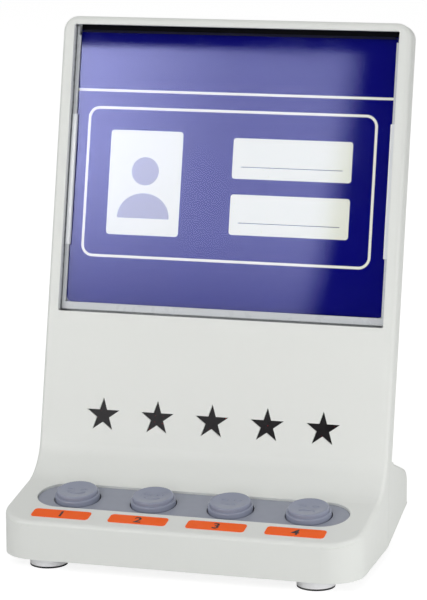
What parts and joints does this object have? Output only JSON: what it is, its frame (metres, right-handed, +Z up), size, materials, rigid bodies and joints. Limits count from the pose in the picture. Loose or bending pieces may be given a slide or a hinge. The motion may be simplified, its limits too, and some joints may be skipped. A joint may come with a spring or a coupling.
{
  "type": "customer feedback button terminal",
  "caption": "Counter-top feedback terminal: leaning panel with a card window and lit stars on a wedge base with push buttons.",
  "frame": {"origin": "middle of the overall box at the underside of the foot pads, on the table", "axes": "+X to the right seen by the customer who faces the buttons, +Y to the rear, away from that customer, +Z up"},
  "size_m": [0.166, 0.1126, 0.2377],
  "materials": {
    "shell": "fine-textured light grey moulding",
    "rail_grey": "satin grey moulding",
    "clip_satin": "glossy pale grey",
    "card_print": "printed card, navy with white outlines and boxes",
    "clear_sheet": "clear glossy sheet",
    "slate": "satin slate grey",
    "button_grey": "satin blue grey",
    "spring_steel": "drawn wire",
    "switch_black": "moulded black",
    "board_green": "lacquered circuit board",
    "lens_dark": "smoked lens",
    "baffle_white": "moulded white",
    "lamp_red": "tinted lamp",
    "socket_black": "moulded black",
    "speaker_dark": "pressed frame and paper cone",
    "label_orange": "printed film label",
    "foot_white": "smooth pale elastomer",
    "pad_rubber": "matt black",
    "screw_steel": "zinc-plated, recessed cross"
  },
  "bodies": {
    "housing": {"front_shell": "shell", "rear_shell": "shell", "card_tray": "rail_grey", "clip_left": "clip_satin", "clip_right": "clip_satin", "clear_cover": "clear_sheet", "key_plate": "slate", "return_spring_1": "spring_steel", "return_spring_2": "spring_steel", "return_spring_3": "spring_steel", "return_spring_4": "spring_steel", "key_switches": "switch_black", "key_board": "board_green", "star_lens": "lens_dark", "star_baffle": "baffle_white", "star_leds": "lamp_red", "star_board": "board_green", "main_board": "board_green", "data_socket": "socket_black", "speaker": "speaker_dark", "label_1": "label_orange", "label_2": "label_orange", "label_3": "label_orange", "label_4": "label_orange", "foot_1": "foot_white", "foot_2": "foot_white", "foot_3": "foot_white", "foot_4": "foot_white", "foot_pads": "pad_rubber", "shell_screws": "screw_steel", "board_screws": "screw_steel"},
    "card": {"name_card": "card_print"},
    "key_1": {"button_1": "button_grey"},
    "key_2": {"button_2": "button_grey"},
    "key_3": {"button_3": "button_grey"},
    "key_4": {"button_4": "button_grey"}
  },
  "joints": [
    {"name": "button_1_press", "type": "slide", "parent": "housing", "child": "key_1", "axis": [0, 0.1685, -0.9857], "range_m": [0, 0.002], "stiffness_N_per_m": 300, "springref_m": -0.004, "deforming": ["return_spring_1"]},
    {"name": "button_2_press", "type": "slide", "parent": "housing", "child": "key_2", "axis": [0, 0.1685, -0.9857], "range_m": [0, 0.002], "stiffness_N_per_m": 300, "springref_m": -0.004, "deforming": ["return_spring_2"]},
    {"name": "button_3_press", "type": "slide", "parent": "housing", "child": "key_3", "axis": [0, 0.1685, -0.9857], "range_m": [0, 0.002], "stiffness_N_per_m": 300, "springref_m": -0.004, "deforming": ["return_spring_3"]},
    {"name": "button_4_press", "type": "slide", "parent": "housing", "child": "key_4", "axis": [0, 0.1685, -0.9857], "range_m": [0, 0.002], "stiffness_N_per_m": 300, "springref_m": -0.004, "deforming": ["return_spring_4"]},
    {"name": "card_slide", "type": "slide", "parent": "housing", "child": "card", "axis": [0, 0.2198, 0.9755], "range_m": [0, 0.13]}
  ]
}
